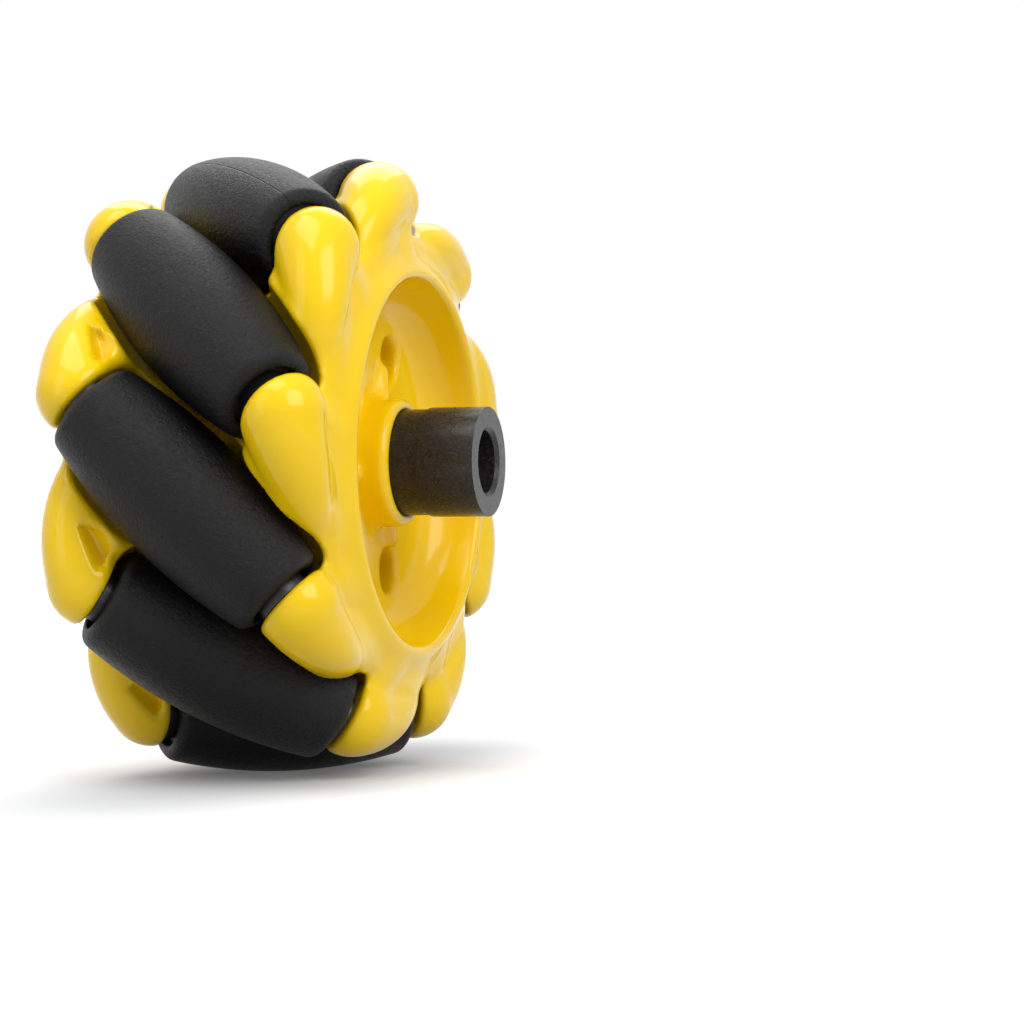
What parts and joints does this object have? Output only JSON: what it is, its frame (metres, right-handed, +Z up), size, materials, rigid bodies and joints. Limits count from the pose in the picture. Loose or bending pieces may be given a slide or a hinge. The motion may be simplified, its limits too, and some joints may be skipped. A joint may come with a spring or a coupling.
{
  "type": "mecanum wheel",
  "caption": "Mecanum wheel: two moulded yellow hub halves with curved fingers hold a ring of black rubber barrel rollers tilted across the rim, with a shaft coupling tube.",
  "frame": {"origin": "centre of the wheel, on the axle, in the plane where the hub halves meet", "axes": "-Y along the axle, out of the end of the coupling tube; +Z up, with the first roller's middle straight below the axle; +X to the right, seen from the coupling tube's side"},
  "size_m": [0.08, 0.0474, 0.0798],
  "materials": {
    "hub_plastic": "glossy moulded",
    "tube_metal": "satin black",
    "screw_steel": "olive passivated",
    "rubber": "fine grained matte",
    "core_plastic": "matte moulded",
    "bush_plastic": "satin moulded",
    "pin_steel": "ground"
  },
  "bodies": {
    "hub": {"hub_front_half": "hub_plastic", "hub_back_half": "hub_plastic", "coupling_tube": "tube_metal", "joining_screws": "screw_steel", "roller_pin_1": "pin_steel", "roller_pin_2": "pin_steel", "roller_pin_3": "pin_steel", "roller_pin_4": "pin_steel", "roller_pin_5": "pin_steel", "roller_pin_6": "pin_steel", "roller_pin_7": "pin_steel", "roller_pin_8": "pin_steel", "roller_pin_9": "pin_steel"},
    "roller_1": {"rubber_sleeve_1": "rubber", "roller_core_1": "core_plastic", "roller_bushes_1": "bush_plastic"},
    "roller_2": {"rubber_sleeve_2": "rubber", "roller_core_2": "core_plastic", "roller_bushes_2": "bush_plastic"},
    "roller_3": {"rubber_sleeve_3": "rubber", "roller_core_3": "core_plastic", "roller_bushes_3": "bush_plastic"},
    "roller_4": {"rubber_sleeve_4": "rubber", "roller_core_4": "core_plastic", "roller_bushes_4": "bush_plastic"},
    "roller_5": {"rubber_sleeve_5": "rubber", "roller_core_5": "core_plastic", "roller_bushes_5": "bush_plastic"},
    "roller_6": {"rubber_sleeve_6": "rubber", "roller_core_6": "core_plastic", "roller_bushes_6": "bush_plastic"},
    "roller_7": {"rubber_sleeve_7": "rubber", "roller_core_7": "core_plastic", "roller_bushes_7": "bush_plastic"},
    "roller_8": {"rubber_sleeve_8": "rubber", "roller_core_8": "core_plastic", "roller_bushes_8": "bush_plastic"},
    "roller_9": {"rubber_sleeve_9": "rubber", "roller_core_9": "core_plastic", "roller_bushes_9": "bush_plastic"}
  },
  "joints": [
    {"name": "roller_1_spin", "type": "hinge", "parent": "hub", "child": "roller_1", "pos_m": [0, 0, -0.0319], "axis": [0.7071, -0.7071, 0], "continuous": true},
    {"name": "roller_2_spin", "type": "hinge", "parent": "hub", "child": "roller_2", "pos_m": [0.0205, 0, -0.02444], "axis": [0.5417, -0.7071, 0.4545], "continuous": true},
    {"name": "roller_3_spin", "type": "hinge", "parent": "hub", "child": "roller_3", "pos_m": [0.03142, 0, -0.00554], "axis": [0.1228, -0.7071, 0.6964], "continuous": true},
    {"name": "roller_4_spin", "type": "hinge", "parent": "hub", "child": "roller_4", "pos_m": [0.02763, 0, 0.01595], "axis": [-0.3536, -0.7071, 0.6124], "continuous": true},
    {"name": "roller_5_spin", "type": "hinge", "parent": "hub", "child": "roller_5", "pos_m": [0.01091, 0, 0.02998], "axis": [-0.6645, -0.7071, 0.2418], "continuous": true},
    {"name": "roller_6_spin", "type": "hinge", "parent": "hub", "child": "roller_6", "pos_m": [-0.01091, 0, 0.02998], "axis": [-0.6645, -0.7071, -0.2418], "continuous": true},
    {"name": "roller_7_spin", "type": "hinge", "parent": "hub", "child": "roller_7", "pos_m": [-0.02763, 0, 0.01595], "axis": [-0.3536, -0.7071, -0.6124], "continuous": true},
    {"name": "roller_8_spin", "type": "hinge", "parent": "hub", "child": "roller_8", "pos_m": [-0.03142, 0, -0.00554], "axis": [0.1228, -0.7071, -0.6964], "continuous": true},
    {"name": "roller_9_spin", "type": "hinge", "parent": "hub", "child": "roller_9", "pos_m": [-0.0205, 0, -0.02444], "axis": [0.5417, -0.7071, -0.4545], "continuous": true}
  ]
}
